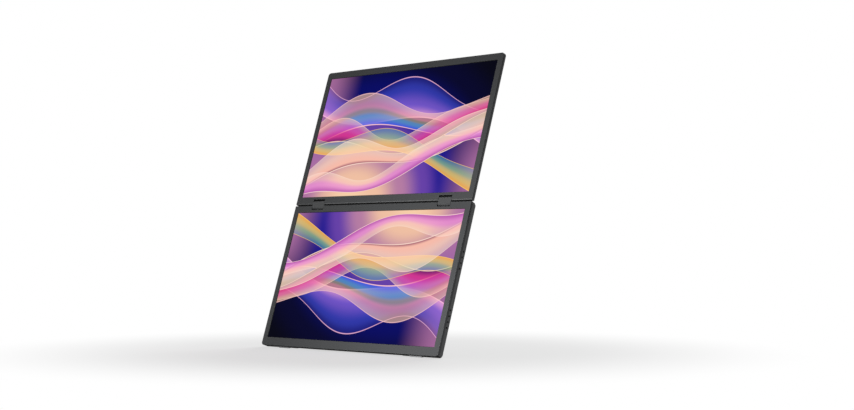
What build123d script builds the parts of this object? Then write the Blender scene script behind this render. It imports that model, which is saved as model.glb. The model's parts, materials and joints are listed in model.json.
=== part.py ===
from build123d import *

import os
from math import acos, cos, degrees, radians, sin

os.makedirs("parts", exist_ok=True)

# A pair of equal portable screens in thin casings. Two links with geared twin
# shafts join them along one long edge, and a plate in the back of the lower
# casing swings out as a stand. The screens are stacked in one plane and lean
# back on the stand. Millimetres and degrees, +X right, +Y back, +Z up.

# Screens and the frames round them
screen_width = 344.2
screen_height = 193.6
side_bezel = 9.3
hinge_bezel = 10.2
top_bezel = 10.1
chin_bezel = 11.9
screen_border = 2.2
lean = 17.85

# Casings
upper_thickness = 5.2
lower_thickness = 10.0
upper_seam = 2.4
lower_seam = 4.0
bezel_skin = 0.8
upper_floor = 0.8
lower_floor = 1.0
side_wall = 1.2
corner_radius = 4.5
edge_round = 0.6
hinge_gap = 1.7
hinge_wall = 0.55
cover_step = 0.8
front_bevel = 1.5
side_slot_length = 29.0
side_slot_top = 0.8
side_slot_width = 1.4
side_slot_depth = 0.7
side_slot_hook = 1.6

# Layers behind the bezel
glass_thickness = 1.2
backlight_thickness = 1.2
driver_board_thickness = 0.8
rib_clearance = 0.1

# Hinge links and their shafts
link_side = 50.9
link_width = 24.5
link_radius = 2.8
link_wall = 0.6
link_end_wall = 0.8
link_side_gap = 0.5
shaft_spacing = 7.0
pocket_gap = 0.4
recess_reach = 8.2
recess_depth = 2.2
shaft_radius = 1.25
shaft_clearance = 0.05
shaft_hole_gap = 0.15
link_plate = 0.8
leaf_length = 30.0
leaf_thickness = 0.8
leaf_clearance = 0.2
leaf_margin = 1.0
leaf_bay_margin = 2.0
leaf_hole_start = 12.0
leaf_hole_spacing = 14.0
shaft_flat_length = 9.0

# Gear train in each link: a gear on each shaft and two equal idlers between them
gear_teeth = 8
gear_width = 3.0
gear_tip_height = 0.22
gear_root_depth = 0.28
gear_tip_width = 0.18
gear_root_width = 0.52
idler_pin_radius = 0.5
shaft_pin_radius = 0.7
link_end_play = 0.3
plate_gap = 0.4
outer_plate_inset = 1.4
curl_split = 0.5

# Kickstand, a plate sunk in the lower back
stand_side = 73.4
stand_seam = 99.8
stand_thickness = 2.2
stand_side_gap = 0.4
stand_back_gap = 0.3
stand_recess_skin = 0.8
stand_pin_radius = 0.65
stand_pin_length = 26.0
stand_knuckle_width = 14.0
stand_knuckle_gap = 0.3
stand_hinge_inset = 28.0
stand_leaf_length = 13.0
stand_leaf_thickness = 0.9
stand_strip = 1.6
stand_strip_inset = 6.0
stand_end_gap = 0.1
stand_pin_play = 0.3
stand_slot_gap = 0.1
stand_edge = 0.3
back_groove_place = 93.5
back_groove_width = 1.3
back_groove_depth = 0.5

# Hinge end of the lower back cover, cut away so the screens fold back to back
bevel_start = 6.7
bevel_width = 3.3
scoop_reach = 12.0
scoop_depth = 0.5

# Feet
back_foot_radius = 6.75
back_foot_height = 1.2
back_foot_sink = 0.4
back_foot_edge = 0.4
back_foot_gap = 0.1
back_foot_side = 15.4
back_foot_near = 30.6
back_foot_far = 206.0
pad_side = 45.4
pad_length = 22.0
pad_inset = 0.8
pad_drop = 0.5
pad_sole = 3.0
pad_top = 5.0

# Ports in the left side and buttons in the right side of the lower casing
port_depth = 5.8
port_places = (120.0, 141.5, 161.6)
port_shell = 0.3
port_gap = 0.15
port_length = 7.5
port_inset = 0.3
port_tongue = (0.72, 0.22)
port_tongue_inset = 1.0
usb_width = 9.0
usb_height = 3.2
hdmi_width = 11.2
hdmi_height = 3.2
button_depth = 5.6
button_pitch = 8.0
button_groups = (71.5, 152.9)
buttons_in_group = 4
button_radius = 1.3
button_clearance = 0.1
button_proud = 0.2
button_edge = 0.3
button_travel = 0.4
button_switch_gap = 0.1
switch_length = 4.0
switch_width = 4.4
button_flange_radius = 1.9
button_flange = 0.6
button_flange_gap = 0.05
button_stem = 1.3

# Boards, speakers and screws inside, with chips as place and size in shares of the main board
board_thickness = 1.0
main_board_height = 84.0
main_board_start = 102.0
main_board_corner = 2.0
main_chips = ((0.12, 0.21, 0.23, 0.18), (0.12, -0.19, 0.23, 0.18), (-0.13, 0.02, 0.16, 0.14))
main_chip_height = 1.2
coil_inset = 8.0
coil_pitch = 16.0
coil_count = 4
coil_size = 7.0
coil_height = 2.2
board_boss_inset = 4.0
button_board_width = 12.0
button_board_end = 5.0
button_board_gap = 0.6
board_margin = 6.0
board_stand_margin = 0.6
driver_chip_count = 4
driver_chip_length = 9.0
driver_chip_width = 2.4
speaker_width = 48.0
speaker_height = 14.0
speaker_depth = 4.0
speaker_corner = 2.0
speaker_side = 43.4
rib_count = 4
rib_width = 2.0
rib_share = 0.8
boss_radius = 1.8
screw_radius = 0.8
screw_clearance = 0.1
screw_head_radius = 1.5
screw_head = 0.6
screw_bite = 1.2

# Sizes that follow
half_width = screen_width / 2 + side_bezel
link_offset = half_width - link_side
back_foot_offset = half_width - back_foot_side
pad_offset = half_width - pad_side
speaker_offset = half_width - speaker_side
near_edge = (hinge_gap + front_bevel) / 2
upper_edge = near_edge - front_bevel
screen_near = near_edge + hinge_bezel
screen_far = screen_near + screen_height
upper_far = screen_far + top_bezel
lower_far = screen_far + chin_bezel
axis_reach = shaft_spacing / 2
pocket_half = link_width / 2 + link_side_gap
pocket_reach = axis_reach + link_radius + pocket_gap
bay_start = pocket_half + side_wall
glass_back = bezel_skin + glass_thickness
backlight_back = glass_back + backlight_thickness
leaf_start = bay_start + leaf_clearance
leaf_near = near_edge + hinge_wall + leaf_clearance
leaf_far = screen_near - screen_border - leaf_margin
leaf_back = link_radius + leaf_thickness
leaf_bay_front = link_radius - shaft_radius - shaft_hole_gap
board_top = port_depth + usb_height / 2
board_back = board_top + board_thickness
stand_barrel = stand_thickness / 2
stand_axis_place = stand_seam + stand_back_gap + stand_barrel
stand_axis_depth = lower_thickness - stand_barrel
stand_half = half_width - stand_side
stand_hinge_offset = stand_half - stand_hinge_inset
stand_recess = stand_thickness + stand_back_gap
stand_leaf_hole = stand_seam - side_wall - stand_leaf_length * 0.55
stand_leaf_top = stand_axis_depth - stand_leaf_thickness
stand_end = lower_far - stand_axis_place - stand_barrel - stand_end_gap
main_board_width = stand_side - stand_side_gap - 2 * side_wall - board_margin - board_stand_margin
main_board_x = -(half_width - side_wall - board_margin - main_board_width / 2)
main_board_y = -main_board_start - main_board_height / 2

# The gears and plates in a link stand at these distances from its middle, outwards
pitch_radius = shaft_spacing / 6
half_tooth = 180 / gear_teeth
link_inside = link_width / 2 - link_end_wall
inner_plate_end = link_inside - link_end_play
gear_end = inner_plate_end - link_plate - plate_gap
gear_start = gear_end - gear_width
middle_plate = gear_start - plate_gap - link_plate
outer_plate = link_inside - outer_plate_inset

# The floor lies under the soles of the base pads
lean_sin = sin(radians(lean))
lean_cos = cos(radians(lean))
pad_heel_place = lower_far + pad_drop
pad_heel_depth = lower_thickness - pad_inset
floor_drop = pad_heel_place * lean_cos + pad_heel_depth * lean_sin
front_most = (lower_far - edge_round) * lean_sin + edge_round * (1 - lean_cos)
back_most = (upper_far - edge_round) * lean_sin + (upper_thickness - edge_round) * lean_cos + edge_round
hinge_place = (front_most - back_most) / 2

# The stand opens until its foot reaches that floor
stand_axis_height = floor_drop - stand_axis_place * lean_cos - stand_axis_depth * lean_sin
stand_tilt = degrees(acos((stand_axis_height - stand_barrel) / stand_end))
stand_open = stand_tilt + lean

# The screens lie in this plane, with its origin on the line between the casings
panel_up = (0, lean_sin, lean_cos)
panel_out = (0, -lean_cos, lean_sin)
screen_plane = Plane(origin=(0, hinge_place, floor_drop), x_dir=(1, 0, 0), z_dir=panel_out)
out_axis = Axis(screen_plane.origin, panel_out)


def behind(depth):
    """Plane parallel to the screens, at a depth behind their front face."""
    return screen_plane.offset(-depth)


def across(x):
    """Plane square to the hinge line, where sketch X is up the screens and sketch Y is out of them."""
    return Plane(origin=screen_plane.from_local_coords(Vector(x, 0, 0)), x_dir=panel_up, z_dir=(1, 0, 0))


def patch(side, x_low, x_high, near, far, mode=Mode.ADD):
    """Rectangle between two distances from the hinge line, above it on side 1 and below it on side -1."""
    with Locations(((x_low + x_high) / 2, side * (near + far) / 2)):
        Rectangle(x_high - x_low, far - near, mode=mode)


def mirrored_patch(side, x_low, x_high, near, far, mode=Mode.ADD):
    """The same rectangle on the left and on the right."""
    patch(side, x_low, x_high, near, far, mode)
    patch(side, -x_high, -x_low, near, far, mode)


def stretch(hand, start, end):
    """Low x and length of a span measured outwards from the middle of the left or right link."""
    ends = (hand * (link_offset + start), hand * (link_offset + end))
    return min(ends), abs(end - start)


def save(piece, name):
    piece.part.label = name
    export_step(piece.part, f"parts/{name}.step")


def casing_outline(side, near, far):
    """Outline of a casing, with round corners at its free end and square ones at the hinge."""
    patch(side, -half_width, half_width, near, far - corner_radius)
    patch(side, -half_width + corner_radius, half_width - corner_radius, near, far)
    corner_x = half_width - corner_radius
    corner_y = side * (far - corner_radius)
    with Locations((-corner_x, corner_y), (corner_x, corner_y)):
        Circle(corner_radius)


def cavity_outline(side, far, near_wall=side_wall):
    """Inside of a casing, less the walls round the link pockets."""
    patch(side, -half_width + side_wall, half_width - side_wall, near_edge + near_wall, far - side_wall)
    pocket = pocket_half + side_wall
    mirrored_patch(side, link_offset - pocket, link_offset + pocket,
                   0, recess_reach + side_wall, Mode.SUBTRACT)


def leaf_bays(side):
    """Bays beside the link pockets, where a thinner end wall makes room for the leaves."""
    first = link_offset + bay_start
    mirrored_patch(side, first, first + leaf_length + leaf_bay_margin, near_edge + hinge_wall, screen_near)


def pocket_outline(side, reach=pocket_reach):
    mirrored_patch(side, link_offset - pocket_half, link_offset + pocket_half, 0, reach)


def shaft_holes(side):
    """Holes for the shafts through the outer walls of the link pockets."""
    for hand in (-1, 1):
        start, length = stretch(hand, pocket_half - 1, bay_start + 1)
        with BuildSketch(across(start)) as hole:
            with Locations((side * axis_reach, -link_radius)):
                Circle(shaft_radius + shaft_hole_gap)
        extrude(hole.sketch, amount=length, mode=Mode.SUBTRACT)


def leaf_hole_places(side):
    """Screw places on the two leaves of one casing, in the screen plane."""
    places = []
    for hand in (-1, 1):
        for count in (0, 1):
            along = leaf_start + leaf_hole_start + count * leaf_hole_spacing
            places.append((hand * (link_offset + along), side * (leaf_near + leaf_far) / 2))
    return places


def side_slot_outline():
    """Hooked slot that starts at the hinge end of the right side."""
    middle = side_slot_top + side_slot_width / 2
    with BuildLine() as path:
        run = Line((-near_edge + side_slot_width, -middle), (-side_slot_length, -middle))
        TangentArc(run @ 1, (-side_slot_length - side_slot_hook, -middle - side_slot_hook), tangent=run % 1)
    trace(path.line, line_width=side_slot_width)


def make_bezel(side, near, far, depth):
    """Front frame: a thin skin with the screen window, and a rim that meets the back cover."""
    with BuildPart() as bezel:
        with BuildSketch(behind(depth)):
            casing_outline(side, near, far)
        extrude(amount=depth)
        fillet(bezel.faces().sort_by(out_axis)[-1].outer_wire().edges(), edge_round)
        with BuildSketch(behind(depth)):
            cavity_outline(side, far)
        extrude(amount=depth - bezel_skin, mode=Mode.SUBTRACT)
        with BuildSketch(behind(depth)):
            leaf_bays(side)
        extrude(amount=depth - leaf_bay_front, mode=Mode.SUBTRACT)
        with BuildSketch(behind(bezel_skin)):
            patch(side, -screen_width / 2, screen_width / 2, screen_near, screen_far)
        extrude(amount=bezel_skin, mode=Mode.SUBTRACT)
        with BuildSketch(behind(depth)):
            pocket_outline(side)
        extrude(amount=depth, mode=Mode.SUBTRACT)
        with BuildSketch(behind(recess_depth)):
            pocket_outline(side, recess_reach)
        extrude(amount=recess_depth, mode=Mode.SUBTRACT)
        shaft_holes(side)
        if side > 0:
            with BuildSketch(across(-half_width)):
                with BuildLine():
                    Polyline((near, 0), (near + front_bevel, 0), (near, -front_bevel), close=True)
                make_face()
            extrude(amount=2 * half_width, mode=Mode.SUBTRACT)
        else:
            with BuildSketch(across(half_width - side_slot_depth)):
                side_slot_outline()
            extrude(amount=side_slot_depth, mode=Mode.SUBTRACT)
    return bezel


def make_upper_back_cover():
    """Thin tray behind the upper screen."""
    with BuildPart() as cover:
        with BuildSketch(behind(upper_thickness)):
            casing_outline(1, upper_edge, upper_far)
        extrude(amount=upper_thickness - upper_seam)
        fillet(cover.faces().sort_by(out_axis)[0].outer_wire().edges(), edge_round)
        with BuildSketch(behind(upper_thickness - upper_floor)):
            cavity_outline(1, upper_far)
            leaf_bays(1)
        extrude(amount=upper_thickness - upper_floor - upper_seam, mode=Mode.SUBTRACT)
        with BuildSketch(behind(upper_thickness)):
            pocket_outline(1)
        extrude(amount=upper_thickness, mode=Mode.SUBTRACT)
        shaft_holes(1)
        leaf_bosses(1, upper_thickness - upper_floor)
        rib_height = upper_thickness - upper_floor - backlight_back - rib_clearance
        with BuildSketch(behind(upper_thickness - upper_floor)):
            with Locations((0, (screen_near + screen_far) / 2)):
                with GridLocations(screen_width / rib_count, 1, rib_count, 1):
                    Rectangle(rib_width, screen_height * rib_share)
        extrude(amount=rib_height)
    return cover


def leaf_bosses(side, floor_depth):
    """Bosses under the leaves, with a pilot hole for each screw."""
    with BuildSketch(behind(floor_depth)) as bosses:
        with Locations(*leaf_hole_places(side)):
            Circle(boss_radius)
    extrude(bosses.sketch, amount=floor_depth - leaf_back)
    with BuildSketch(behind(leaf_back + screw_bite)) as pilots:
        with Locations(*leaf_hole_places(side)):
            Circle(screw_radius + screw_clearance)
    extrude(pilots.sketch, amount=screw_bite, mode=Mode.SUBTRACT)


def stand_bay(grow, mode=Mode.ADD):
    """Outline of the kickstand's recess, grown by a wall and open at the bottom end."""
    reach = stand_half + stand_side_gap + grow
    patch(-1, -reach, reach, stand_seam - grow, lower_far + 1, mode)


def stand_leaf_places():
    """Screw places on the two kickstand hinge leaves."""
    places = []
    for hand in (-1, 1):
        for step in (-1, 1):
            places.append((hand * stand_hinge_offset + step * stand_knuckle_width / 4, -stand_leaf_hole))
    return places


def button_places():
    """Distance of each button from the hinge line, group by group."""
    return [start + button_pitch * count for start in button_groups for count in range(buttons_in_group)]


def board_boss_places():
    """Bosses near the corners of the main board."""
    step_x = main_board_width / 2 - board_boss_inset
    step_y = main_board_height / 2 - board_boss_inset
    return [(main_board_x + x, main_board_y + y) for x in (-step_x, step_x) for y in (-step_y, step_y)]


def board_rib_places():
    """Short ribs under both ends of each button board."""
    rib_x = half_width - side_wall - button_board_width
    last = button_pitch * (buttons_in_group - 1)
    return [(rib_x, -start - along) for start in button_groups for along in (0, last)]


def make_lower_back_cover():
    """Deep tray behind the lower screen, with the kickstand's recess, ports, buttons and feet seats."""
    with BuildPart() as cover:
        with BuildSketch(behind(lower_thickness)):
            casing_outline(-1, near_edge + cover_step, lower_far)
        extrude(amount=lower_thickness - lower_seam)
        fillet(cover.faces().sort_by(out_axis)[0].outer_wire().edges(), edge_round)

        # Shallow room behind the whole screen, deep room outside the kickstand
        stand_skin = lower_thickness - stand_recess - stand_recess_skin
        with BuildSketch(behind(stand_skin)):
            cavity_outline(-1, lower_far, cover_step + side_wall)
        extrude(amount=stand_skin - lower_seam, mode=Mode.SUBTRACT)
        with BuildSketch(behind(lower_thickness - lower_floor)):
            cavity_outline(-1, lower_far, cover_step + side_wall + bevel_width)
            mirrored_patch(-1, link_offset - pocket_half - side_wall,
                           link_offset + bay_start + leaf_length + leaf_bay_margin,
                           0, near_edge + cover_step + side_wall + bevel_width, Mode.SUBTRACT)
            stand_bay(side_wall, Mode.SUBTRACT)
        extrude(amount=lower_thickness - lower_floor - lower_seam, mode=Mode.SUBTRACT)

        # Bosses of the hinge leaves, which the bevel trims
        leaf_bosses(-1, lower_thickness - lower_floor)

        # Recess of the kickstand, open at the bottom end
        with BuildSketch(behind(lower_thickness)):
            stand_bay(0)
        extrude(amount=stand_recess, mode=Mode.SUBTRACT)

        # Hinge end: the bevel, the pockets of the links and a scoop below each
        with BuildSketch(across(-half_width)):
            with BuildLine():
                Polyline((0, -bevel_start), (-near_edge - cover_step, -bevel_start),
                         (-near_edge - cover_step - bevel_width - 1, -lower_thickness - 1),
                         (0, -lower_thickness - 1), close=True)
            make_face()
        extrude(amount=2 * half_width, mode=Mode.SUBTRACT)
        with BuildSketch(behind(lower_thickness)):
            pocket_outline(-1)
        extrude(amount=lower_thickness, mode=Mode.SUBTRACT)
        with BuildSketch(behind(lower_thickness)):
            with Locations((-link_offset, -recess_reach), (link_offset, -recess_reach)):
                Ellipse(link_width / 2, scoop_reach - recess_reach)
        extrude(amount=scoop_depth, mode=Mode.SUBTRACT)
        shaft_holes(-1)

        # Groove across the back above the kickstand
        with BuildSketch(behind(lower_thickness)):
            patch(-1, -half_width + edge_round, half_width - edge_round,
                  back_groove_place - back_groove_width / 2, back_groove_place + back_groove_width / 2)
        extrude(amount=back_groove_depth, mode=Mode.SUBTRACT)

        # Seats of the round feet
        with BuildSketch(behind(lower_thickness)):
            with Locations(*back_foot_places()):
                Circle(back_foot_radius + back_foot_gap)
        extrude(amount=back_foot_sink, mode=Mode.SUBTRACT)

        # Slots for the kickstand hinge leaves
        for hand in (-1, 1):
            with BuildSketch(across(hand * stand_hinge_offset - stand_knuckle_width / 2 - stand_slot_gap)):
                with Locations((-stand_seam + side_wall / 2, -stand_axis_depth + stand_leaf_thickness / 2)):
                    Rectangle(side_wall * 3, stand_leaf_thickness + 2 * stand_slot_gap)
            extrude(amount=stand_knuckle_width + 2 * stand_slot_gap, mode=Mode.SUBTRACT)
        with BuildSketch(behind(lower_thickness - lower_floor + screw_head)):
            with Locations(*stand_leaf_places()):
                Circle(screw_radius + screw_clearance)
        extrude(amount=screw_head, mode=Mode.SUBTRACT)

        # Bosses of the boards
        with BuildSketch(behind(lower_thickness - lower_floor)):
            with Locations(*board_boss_places()):
                Circle(boss_radius)
            with Locations(*board_rib_places()):
                Rectangle(2 * boss_radius, rib_width)
        extrude(amount=lower_thickness - lower_floor - board_back)

        # Openings in the sides
        for place, width, height in port_list():
            with BuildSketch(across(-half_width - 1)):
                with Locations((-place, -port_depth)):
                    RectangleRounded(width + 2 * port_gap, height + 2 * port_gap, height / 2)
            extrude(amount=side_wall + 2, mode=Mode.SUBTRACT)
        with BuildSketch(across(half_width - side_wall - 1)):
            with Locations(*[(-place, -button_depth) for place in button_places()]):
                Circle(button_radius + button_clearance)
        extrude(amount=side_wall + 2, mode=Mode.SUBTRACT)
    return cover


def port_list():
    """Place, width and height of each port, from the hinge end down."""
    sizes = ((hdmi_width, hdmi_height), (usb_width, usb_height), (usb_width, usb_height))
    return [(place, width, height) for place, (width, height) in zip(port_places, sizes)]


def back_foot_places():
    offsets = (-back_foot_offset, back_foot_offset)
    return [(offset, -place) for offset in offsets for place in (back_foot_near, back_foot_far)]


def make_sheet(side, front, thickness):
    """Flat layer of a display, a little larger than its visible picture."""
    with BuildPart() as sheet:
        with BuildSketch(behind(front + thickness)):
            patch(side, -screen_width / 2 - screen_border, screen_width / 2 + screen_border,
                  screen_near - screen_border, screen_far + screen_border)
        extrude(amount=thickness)
    return sheet


def make_driver_board(side):
    """Narrow board between the links that drives the rows of the display."""
    with BuildPart() as board:
        with BuildSketch(behind(glass_back + driver_board_thickness)):
            patch(side, -screen_width / 4, screen_width / 4, near_edge + side_wall + leaf_clearance,
                  screen_near - screen_border - leaf_clearance)
        extrude(amount=driver_board_thickness)
        with BuildSketch(behind(glass_back)):
            with Locations((0, side * (near_edge + side_wall + hinge_bezel - screen_border) / 2)):
                with GridLocations(screen_width / 10, 1, driver_chip_count, 1):
                    Rectangle(driver_chip_length, driver_chip_width)
        extrude(amount=driver_board_thickness)
    return board


def make_main_board():
    """Main board beside the kickstand, with its processor, memory and power coils on it."""
    with BuildPart() as board:
        with BuildSketch(behind(board_back)):
            with Locations((main_board_x, main_board_y)):
                RectangleRounded(main_board_width, main_board_height, main_board_corner)
        extrude(amount=board_thickness)
        with BuildSketch(behind(board_top)):
            for right, up, width, height in main_chips:
                with Locations((main_board_x + right * main_board_width,
                                main_board_y + up * main_board_height)):
                    Rectangle(width * main_board_width, height * main_board_height)
        extrude(amount=main_chip_height)
        with BuildSketch(behind(board_top)):
            with Locations((main_board_x + main_board_width / 2 - coil_inset, main_board_y)):
                with GridLocations(1, coil_pitch, 1, coil_count):
                    Rectangle(coil_size, coil_size)
        extrude(amount=coil_height)
    return board


def make_port(place, width, height):
    """Metal shell of a socket with the contact tongue inside it."""
    with BuildPart() as port:
        with BuildSketch(across(-half_width + port_inset)):
            with Locations((-place, -port_depth)):
                RectangleRounded(width, height, height / 2 - 0.01)
        extrude(amount=port_length)
        with BuildSketch(across(-half_width + port_inset)):
            with Locations((-place, -port_depth)):
                inner = height - 2 * port_shell
                RectangleRounded(width - 2 * port_shell, inner, inner / 2 - 0.01)
        extrude(amount=port_length - port_shell * 2, mode=Mode.SUBTRACT)
        with BuildSketch(across(-half_width + port_inset + port_tongue_inset)):
            with Locations((-place, -port_depth)):
                Rectangle(width * port_tongue[0], height * port_tongue[1])
        extrude(amount=port_length - port_tongue_inset)
    return port


def make_button_board(start):
    """Small board with a push switch behind each button of one group."""
    board_edge = half_width - side_wall - button_flange - button_board_gap
    stem_end = half_width - side_wall - button_flange_gap - button_flange - button_stem
    switch_face = stem_end - button_travel - button_switch_gap
    span = button_pitch * (buttons_in_group - 1)
    with BuildPart() as board:
        with BuildSketch(behind(board_back)):
            patch(-1, board_edge - button_board_width, board_edge, start - button_board_end,
                  start + span + button_board_end)
        extrude(amount=board_thickness)
        with BuildSketch(behind(board_top)):
            with Locations((switch_face - switch_length / 2, -start - span / 2)):
                with GridLocations(1, button_pitch, 1, buttons_in_group):
                    Rectangle(switch_length, switch_width)
        extrude(amount=board_top - button_depth + button_radius)
    return board


def make_button(place):
    """Round cap with a flange behind the wall and a stem that meets its switch."""
    flange_front = half_width - side_wall - button_flange_gap
    with BuildPart() as button:
        with BuildSketch(across(flange_front - button_flange)):
            with Locations((-place, -button_depth)):
                Circle(button_radius)
        extrude(amount=half_width + button_proud - flange_front + button_flange)
        chamfer(button.faces().sort_by(Axis.X)[-1].edges(), button_edge)
        with BuildSketch(across(flange_front - button_flange)):
            with Locations((-place, -button_depth)):
                Circle(button_flange_radius)
        extrude(amount=button_flange)
        with BuildSketch(across(flange_front - button_flange)):
            with Locations((-place, -button_depth)):
                Circle(button_radius * 0.6)
        extrude(amount=-button_stem)
    return button


def make_speaker(hand):
    """Flat box speaker standing on the floor of the back cover."""
    with BuildPart() as speaker:
        with BuildSketch(behind(lower_thickness - lower_floor)):
            with Locations((hand * speaker_offset, -back_groove_place + speaker_height)):
                RectangleRounded(speaker_width, speaker_height, speaker_corner)
        extrude(amount=speaker_depth)
    return speaker


def make_back_feet():
    """Four round rubber feet on the lower back."""
    with BuildPart() as feet:
        with BuildSketch(behind(lower_thickness - back_foot_sink)):
            with Locations(*back_foot_places()):
                Circle(back_foot_radius)
        extrude(amount=-back_foot_height - back_foot_sink)
        for sole in feet.faces().sort_by(out_axis)[:4]:
            chamfer(sole.edges(), back_foot_edge)
    return feet


def make_base_pads():
    """Two rubber pads under the bottom end, with soles that lie flat on the desk."""
    toe_place = pad_heel_place + pad_sole * lean_sin
    toe_depth = pad_heel_depth - pad_sole * lean_cos
    with BuildPart() as pads:
        for hand in (-1, 1):
            with BuildSketch(across(hand * pad_offset - pad_length / 2)):
                with BuildLine():
                    Polyline((-lower_far, -pad_heel_depth), (-pad_heel_place, -pad_heel_depth),
                             (-toe_place, -toe_depth), (-lower_far, -pad_top), close=True)
                make_face()
            extrude(amount=pad_length)
    return pads


def make_leaf(side, hand):
    """Steel leaf that holds a shaft's flat end and is screwed into its casing."""
    start, length = stretch(hand, leaf_start, leaf_start + leaf_length)
    with BuildPart() as leaf:
        with BuildSketch(behind(leaf_back)):
            patch(side, start, start + length, leaf_near, leaf_far)
        extrude(amount=leaf_thickness)
        with BuildSketch(behind(leaf_back)):
            with Locations(*leaf_hole_places(side)):
                Circle(screw_radius + screw_clearance)
        extrude(amount=leaf_thickness, mode=Mode.SUBTRACT)
    return leaf


def leaf_screws(side):
    with BuildSketch(behind(link_radius)) as heads:
        with Locations(*leaf_hole_places(side)):
            Circle(screw_head_radius)
    extrude(heads.sketch, amount=screw_head)
    with BuildSketch(behind(link_radius)) as shanks:
        with Locations(*leaf_hole_places(side)):
            Circle(screw_radius)
    extrude(shanks.sketch, amount=-leaf_thickness - screw_bite * 0.9)


def make_lower_screws():
    with BuildPart() as screws:
        leaf_screws(-1)
        with BuildSketch(behind(stand_leaf_top)):
            with Locations(*stand_leaf_places()):
                Circle(screw_head_radius)
        extrude(amount=screw_head)
        with BuildSketch(behind(stand_leaf_top)):
            with Locations(*stand_leaf_places()):
                Circle(screw_radius)
        extrude(amount=-(lower_thickness - lower_floor + screw_head * 0.9 - stand_leaf_top))
    return screws


def make_upper_screws():
    with BuildPart() as screws:
        leaf_screws(1)
    return screws


def gear_outline(phase):
    """Root circle and teeth of one gear of the train."""
    Circle(pitch_radius - gear_root_depth)
    with PolarLocations(0, gear_teeth, start_angle=phase):
        root = (pitch_radius - gear_root_depth) * 0.8
        tip = pitch_radius + gear_tip_height
        Polygon((root, -gear_root_width / 2), (tip, -gear_tip_width / 2),
                (tip, gear_tip_width / 2), (root, gear_root_width / 2), align=None)


def make_shaft(side, hand):
    """Steel shaft: a pin and a gear inside the link, and a half flat end on its leaf."""
    with BuildPart() as shaft:
        start, length = stretch(hand, -inner_plate_end, -gear_end)
        with BuildSketch(across(start)):
            with Locations((side * axis_reach, -link_radius)):
                Circle(shaft_pin_radius)
        extrude(amount=length)
        start, length = stretch(hand, -gear_end, -gear_start)
        with BuildSketch(across(start)):
            with Locations((side * axis_reach, -link_radius)):
                gear_outline(0 if side < 0 else half_tooth)
        extrude(amount=length)
        start, length = stretch(hand, -gear_start, leaf_start + shaft_flat_length)
        with BuildSketch(across(start)):
            with Locations((side * axis_reach, -link_radius)):
                Circle(shaft_radius)
        extrude(amount=length)
        start, length = stretch(hand, leaf_start - shaft_hole_gap, leaf_start + shaft_flat_length + 1)
        with BuildSketch(across(start)):
            with Locations((side * axis_reach, -link_radius - shaft_radius)):
                Rectangle(shaft_radius * 3, shaft_radius * 2)
        extrude(amount=length, mode=Mode.SUBTRACT)
    return shaft


def make_idler(side, hand):
    """Small gear on its own pin between the two shaft gears."""
    place = side * pitch_radius
    with BuildPart() as idler:
        start, length = stretch(hand, -inner_plate_end, -middle_plate)
        with BuildSketch(across(start)):
            with Locations((place, -link_radius)):
                Circle(idler_pin_radius)
        extrude(amount=length)
        start, length = stretch(hand, -gear_end, -gear_start)
        with BuildSketch(across(start)):
            with Locations((place, -link_radius)):
                gear_outline(half_tooth if side < 0 else 0)
        extrude(amount=length)
    return idler


def slot_outline(radius):
    """Round ended outline about both shafts, seen along the hinge."""
    with Locations((0, -link_radius)):
        SlotCenterToCenter(shaft_spacing, radius)


def make_link_shell(hand):
    """Hollow link body, closed at both ends but for the shaft holes."""
    with BuildPart() as shell:
        start, length = stretch(hand, -link_width / 2, link_width / 2)
        with BuildSketch(across(start)):
            slot_outline(2 * link_radius)
        extrude(amount=length)
        start, length = stretch(hand, -link_inside, link_inside)
        with BuildSketch(across(start)):
            slot_outline(2 * (link_radius - link_wall))
        extrude(amount=length, mode=Mode.SUBTRACT)
        start, length = stretch(hand, link_inside - 1, link_width / 2 + 1)
        with BuildSketch(across(start)):
            with Locations((-axis_reach, -link_radius), (axis_reach, -link_radius)):
                Circle(shaft_radius + shaft_hole_gap)
        extrude(amount=length, mode=Mode.SUBTRACT)
    return shell


def make_link_cover(hand, keep):
    """One half of a link body, split through the shafts."""
    with BuildPart() as cover:
        add(make_link_shell(hand).part)
        split(bisect_by=behind(link_radius), keep=keep)
    return cover


def make_link_plates(hand):
    """Three steel plates that hold the two shafts at their spacing and carry the idlers."""
    with BuildPart() as plates:
        for begin, bore in ((-inner_plate_end, shaft_pin_radius), (-middle_plate - link_plate, shaft_radius),
                            (outer_plate, shaft_radius)):
            start, length = stretch(hand, begin, begin + link_plate)
            with BuildSketch(across(start)):
                slot_outline(2 * (link_radius - link_wall - shaft_clearance))
                with Locations((-axis_reach, -link_radius), (axis_reach, -link_radius)):
                    Circle(bore + shaft_clearance, mode=Mode.SUBTRACT)
                if begin < 0:
                    with Locations((-pitch_radius, -link_radius), (pitch_radius, -link_radius)):
                        Circle(idler_pin_radius + shaft_clearance, mode=Mode.SUBTRACT)
            extrude(amount=length)
    return plates


def make_friction_curl(hand):
    """Sprung steel strip curled round both shafts, whose grip holds the screens where they are put."""
    grip = link_radius - link_wall - shaft_clearance
    with BuildPart() as curl:
        start, length = stretch(hand, -middle_plate + plate_gap, outer_plate - plate_gap)
        with BuildSketch(across(start)):
            with Locations((-axis_reach, -link_radius), (axis_reach, -link_radius)):
                Circle(grip)
            with Locations((0, -link_radius)):
                Rectangle(shaft_spacing - 2 * shaft_radius, grip * 0.6)
            with Locations((-axis_reach, -link_radius), (axis_reach, -link_radius)):
                Circle(shaft_radius + shaft_clearance, mode=Mode.SUBTRACT)
            with Locations((-axis_reach, -link_radius + grip), (axis_reach, -link_radius + grip)):
                Rectangle(curl_split, grip * 2 - shaft_radius, mode=Mode.SUBTRACT)
        extrude(amount=length)
    return curl


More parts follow.
